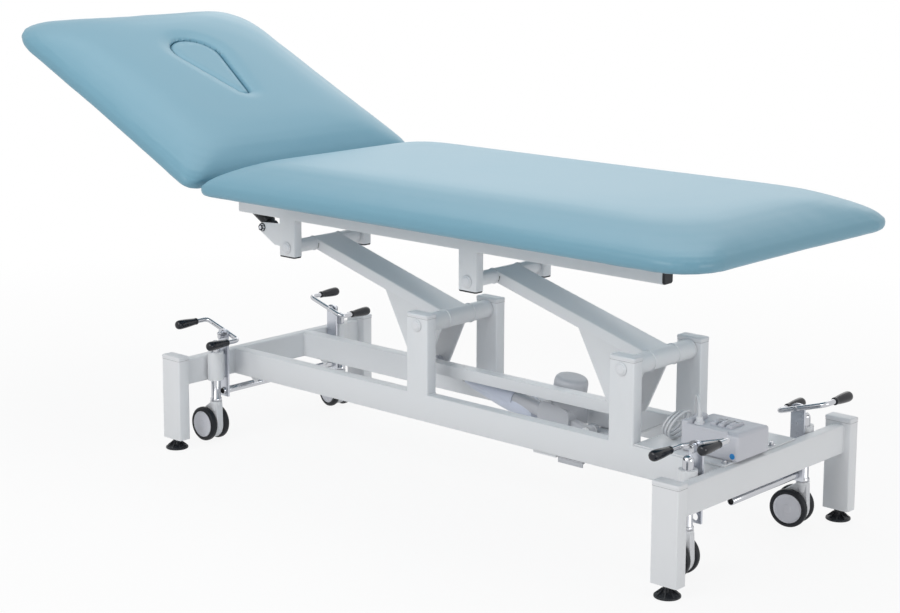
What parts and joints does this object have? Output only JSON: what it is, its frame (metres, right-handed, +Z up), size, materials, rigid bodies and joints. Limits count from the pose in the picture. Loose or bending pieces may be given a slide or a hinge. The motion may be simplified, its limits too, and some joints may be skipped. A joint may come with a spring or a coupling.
{
  "type": "electric examination couch",
  "caption": "Electric examination couch: long padded section, tilting head section with a plugged face opening, lever-arm lift driven by an actuator, and pedal-lowered castors.",
  "frame": {"origin": "on the floor under the middle of the couch's overall box", "axes": "+X towards the foot end, +Y towards the far side of the picture, +Z up"},
  "size_m": [1.9757, 0.7, 0.9486],
  "materials": {
    "white_powder_coat": "satin",
    "chrome": "polished",
    "black_plastic": "matte",
    "blue_vinyl": "satin",
    "grey_housing": "satin",
    "zinc_steel": "satin",
    "white_lead": "matte",
    "tyre": "matte"
  },
  "bodies": {
    "base": {"head_end_frame": "white_powder_coat", "foot_end_frame": "white_powder_coat", "near_side_frame": "white_powder_coat", "far_side_frame": "white_powder_coat", "actuator_anchor": "white_powder_coat", "control_box": "grey_housing", "motor_lead": "white_lead", "head_lower_axle": "white_powder_coat", "foot_lower_axle": "white_powder_coat", "head_cross_shaft": "chrome", "foot_cross_shaft": "chrome"},
    "head_arm": {"head_lift_arm": "white_powder_coat"},
    "foot_arm": {"foot_lift_arm": "white_powder_coat"},
    "link": {"link_bar": "white_powder_coat"},
    "actuator_case": {"actuator_body": "grey_housing"},
    "actuator_ram": {"actuator_rod": "zinc_steel"},
    "top": {"top_frame": "white_powder_coat", "near_rail_plug": "black_plastic", "far_rail_plug": "black_plastic", "near_head_bracket_plug": "black_plastic", "far_head_bracket_plug": "black_plastic", "near_foot_bracket_plug": "black_plastic", "far_foot_bracket_plug": "black_plastic", "head_upper_axle": "white_powder_coat", "foot_upper_axle": "white_powder_coat", "foot_pad": "blue_vinyl"},
    "head_section": {"head_frame": "white_powder_coat", "head_pad": "blue_vinyl"},
    "plug": {"face_plug": "blue_vinyl"},
    "gas_case": {"gas_spring_body": "black_plastic"},
    "gas_ram": {"gas_spring_rod": "chrome"},
    "near_head_pedal_arm": {"near_head_pedal": "chrome", "near_head_inner_grip": "black_plastic", "near_head_outer_grip": "black_plastic"},
    "near_head_stem": {"near_head_castor_stem": "chrome"},
    "near_head_fork": {"near_head_castor_fork": "white_powder_coat"},
    "near_head_wheels": {"near_head_castor_wheels": "tyre"},
    "near_head_leveller": {"near_head_foot": "black_plastic"},
    "far_head_pedal_arm": {"far_head_pedal": "chrome", "far_head_inner_grip": "black_plastic", "far_head_outer_grip": "black_plastic"},
    "far_head_stem": {"far_head_castor_stem": "chrome"},
    "far_head_fork": {"far_head_castor_fork": "white_powder_coat"},
    "far_head_wheels": {"far_head_castor_wheels": "tyre"},
    "far_head_leveller": {"far_head_foot": "black_plastic"},
    "near_foot_pedal_arm": {"near_foot_pedal": "chrome", "near_foot_inner_grip": "black_plastic", "near_foot_outer_grip": "black_plastic"},
    "near_foot_stem": {"near_foot_castor_stem": "chrome"},
    "near_foot_fork": {"near_foot_castor_fork": "white_powder_coat"},
    "near_foot_wheels": {"near_foot_castor_wheels": "tyre"},
    "near_foot_leveller": {"near_foot_foot": "black_plastic"},
    "far_foot_pedal_arm": {"far_foot_pedal": "chrome", "far_foot_inner_grip": "black_plastic", "far_foot_outer_grip": "black_plastic"},
    "far_foot_stem": {"far_foot_castor_stem": "chrome"},
    "far_foot_fork": {"far_foot_castor_fork": "white_powder_coat"},
    "far_foot_wheels": {"far_foot_castor_wheels": "tyre"},
    "far_foot_leveller": {"far_foot_foot": "black_plastic"}
  },
  "joints": [
    {"name": "lift", "type": "hinge", "parent": "base", "child": "head_arm", "pos_m": [0.1223, 0, 0.352], "axis": [0, 1, 0], "range_deg": [-19.5, 32]},
    {"name": "foot_arm_swing", "type": "hinge", "parent": "base", "child": "foot_arm", "pos_m": [0.666, 0, 0.352], "axis": [0, 1, 0], "range_deg": [-19.6, 32.1]},
    {"name": "top_level", "type": "hinge", "parent": "head_arm", "child": "top", "pos_m": [-0.28255, 0, 0.46603], "axis": [0, 1, 0], "range_deg": [-32.1, 19.6]},
    {"name": "link_level", "type": "hinge", "parent": "head_arm", "child": "link", "pos_m": [0.0499, 0, 0.235], "axis": [0, 1, 0], "range_deg": [-32.1, 19.6]},
    {"name": "actuator_swing", "type": "hinge", "parent": "base", "child": "actuator_case", "pos_m": [0.4759, 0.018, 0.158], "axis": [0, 1, 0], "range_deg": [-2.7, 4.4]},
    {"name": "actuator_stroke", "type": "slide", "parent": "actuator_case", "child": "actuator_ram", "axis": [-0.9841, 0, 0.1779], "range_m": [-0.041, 0.067]},
    {"name": "head_tilt", "type": "hinge", "parent": "top", "child": "head_section", "pos_m": [-0.3381, 0, 0.606], "axis": [0, 1, 0], "range_deg": [-25.4, 30]},
    {"name": "gas_swing", "type": "hinge", "parent": "top", "child": "gas_case", "pos_m": [-0.3731, -0.0805, 0.501], "axis": [0, 1, 0], "range_deg": [-23.82, 28.13]},
    {"name": "gas_stroke", "type": "slide", "parent": "gas_case", "child": "gas_ram", "axis": [-0.8641, 0, 0.5033], "range_m": [-0.047, 0.0554]},
    {"name": "plug_lift_out", "type": "slide", "parent": "head_section", "child": "plug", "axis": [0.4289, 0, 0.9033], "range_m": [0, 0.1]},
    {"name": "near_head_pedal_press", "type": "hinge", "parent": "base", "child": "near_head_pedal_arm", "pos_m": [-0.4436, -0.1745, 0.2535], "axis": [0, -1, 0], "range_deg": [0, 34]},
    {"name": "near_head_stem_drop", "type": "slide", "parent": "base", "child": "near_head_stem", "axis": [0, 0, -1], "range_m": [0, 0.0252]},
    {"name": "near_head_swivel", "type": "hinge", "parent": "near_head_stem", "child": "near_head_fork", "pos_m": [-0.4436, -0.2, 0.098], "axis": [0, 0, 1], "continuous": true},
    {"name": "near_head_roll", "type": "hinge", "parent": "near_head_fork", "child": "near_head_wheels", "pos_m": [-0.4651, -0.19962, 0.0415], "axis": [0.0175, 0.9998, 0], "continuous": true},
    {"name": "near_head_level_turn", "type": "hinge", "parent": "base", "child": "near_head_leveller", "pos_m": [-0.4711, -0.2955, 0], "axis": [0, 0, 1], "continuous": true},
    {"name": "far_head_pedal_press", "type": "hinge", "parent": "base", "child": "far_head_pedal_arm", "pos_m": [-0.4436, 0.1745, 0.2535], "axis": [0, -1, 0], "range_deg": [0, 34]},
    {"name": "far_head_stem_drop", "type": "slide", "parent": "base", "child": "far_head_stem", "axis": [0, 0, -1], "range_m": [0, 0.0252]},
    {"name": "far_head_swivel", "type": "hinge", "parent": "far_head_stem", "child": "far_head_fork", "pos_m": [-0.4436, 0.2, 0.098], "axis": [0, 0, 1], "continuous": true},
    {"name": "far_head_roll", "type": "hinge", "parent": "far_head_fork", "child": "far_head_wheels", "pos_m": [-0.46463, 0.20447, 0.0415], "axis": [0.2079, 0.9781, 0], "continuous": true},
    {"name": "far_head_level_turn", "type": "hinge", "parent": "base", "child": "far_head_leveller", "pos_m": [-0.4711, 0.2955, 0], "axis": [0, 0, 1], "continuous": true},
    {"name": "near_foot_pedal_press", "type": "hinge", "parent": "base", "child": "near_foot_pedal_arm", "pos_m": [0.8794, -0.1745, 0.2535], "axis": [0, 1, 0], "range_deg": [0, 34]},
    {"name": "near_foot_stem_drop", "type": "slide", "parent": "base", "child": "near_foot_stem", "axis": [0, 0, -1], "range_m": [0, 0.0252]},
    {"name": "near_foot_swivel", "type": "hinge", "parent": "near_foot_stem", "child": "near_foot_fork", "pos_m": [0.8794, -0.2, 0.098], "axis": [0, 0, 1], "continuous": true},
    {"name": "near_foot_roll", "type": "hinge", "parent": "near_foot_fork", "child": "near_foot_wheels", "pos_m": [0.85802, -0.20225, 0.0415], "axis": [-0.1045, 0.9945, 0], "continuous": true},
    {"name": "near_foot_level_turn", "type": "hinge", "parent": "base", "child": "near_foot_leveller", "pos_m": [0.9069, -0.2955, 0], "axis": [0, 0, 1], "continuous": true},
    {"name": "far_foot_pedal_press", "type": "hinge", "parent": "base", "child": "far_foot_pedal_arm", "pos_m": [0.8794, 0.1745, 0.2535], "axis": [0, 1, 0], "range_deg": [0, 34]},
    {"name": "far_foot_stem_drop", "type": "slide", "parent": "base", "child": "far_foot_stem", "axis": [0, 0, -1], "range_m": [0, 0.0252]},
    {"name": "far_foot_swivel", "type": "hinge", "parent": "far_foot_stem", "child": "far_foot_fork", "pos_m": [0.8794, 0.2, 0.098], "axis": [0, 0, 1], "continuous": true},
    {"name": "far_foot_roll", "type": "hinge", "parent": "far_foot_fork", "child": "far_foot_wheels", "pos_m": [0.85823, 0.19627, 0.0415], "axis": [-0.1736, 0.9848, 0], "continuous": true},
    {"name": "far_foot_level_turn", "type": "hinge", "parent": "base", "child": "far_foot_leveller", "pos_m": [0.9069, 0.2955, 0], "axis": [0, 0, 1], "continuous": true}
  ],
  "couplings": [
    {"joint": "foot_arm_swing", "follows": "lift", "ratio": 1},
    {"joint": "top_level", "follows": "lift", "ratio": -1},
    {"joint": "link_level", "follows": "lift", "ratio": -1},
    {"joint": "actuator_swing", "follows": "lift", "ratio": 0.136},
    {"joint": "actuator_stroke", "follows": "lift", "m_per_rad": 0.1191},
    {"joint": "gas_swing", "follows": "head_tilt", "ratio": 0.936},
    {"joint": "gas_stroke", "follows": "head_tilt", "m_per_rad": 0.1048},
    {"joint": "near_head_stem_drop", "follows": "near_head_pedal_press", "m_per_rad": 0.04213},
    {"joint": "far_head_stem_drop", "follows": "far_head_pedal_press", "m_per_rad": 0.04213},
    {"joint": "near_foot_stem_drop", "follows": "near_foot_pedal_press", "m_per_rad": 0.04213},
    {"joint": "far_foot_stem_drop", "follows": "far_foot_pedal_press", "m_per_rad": 0.04213}
  ]
}
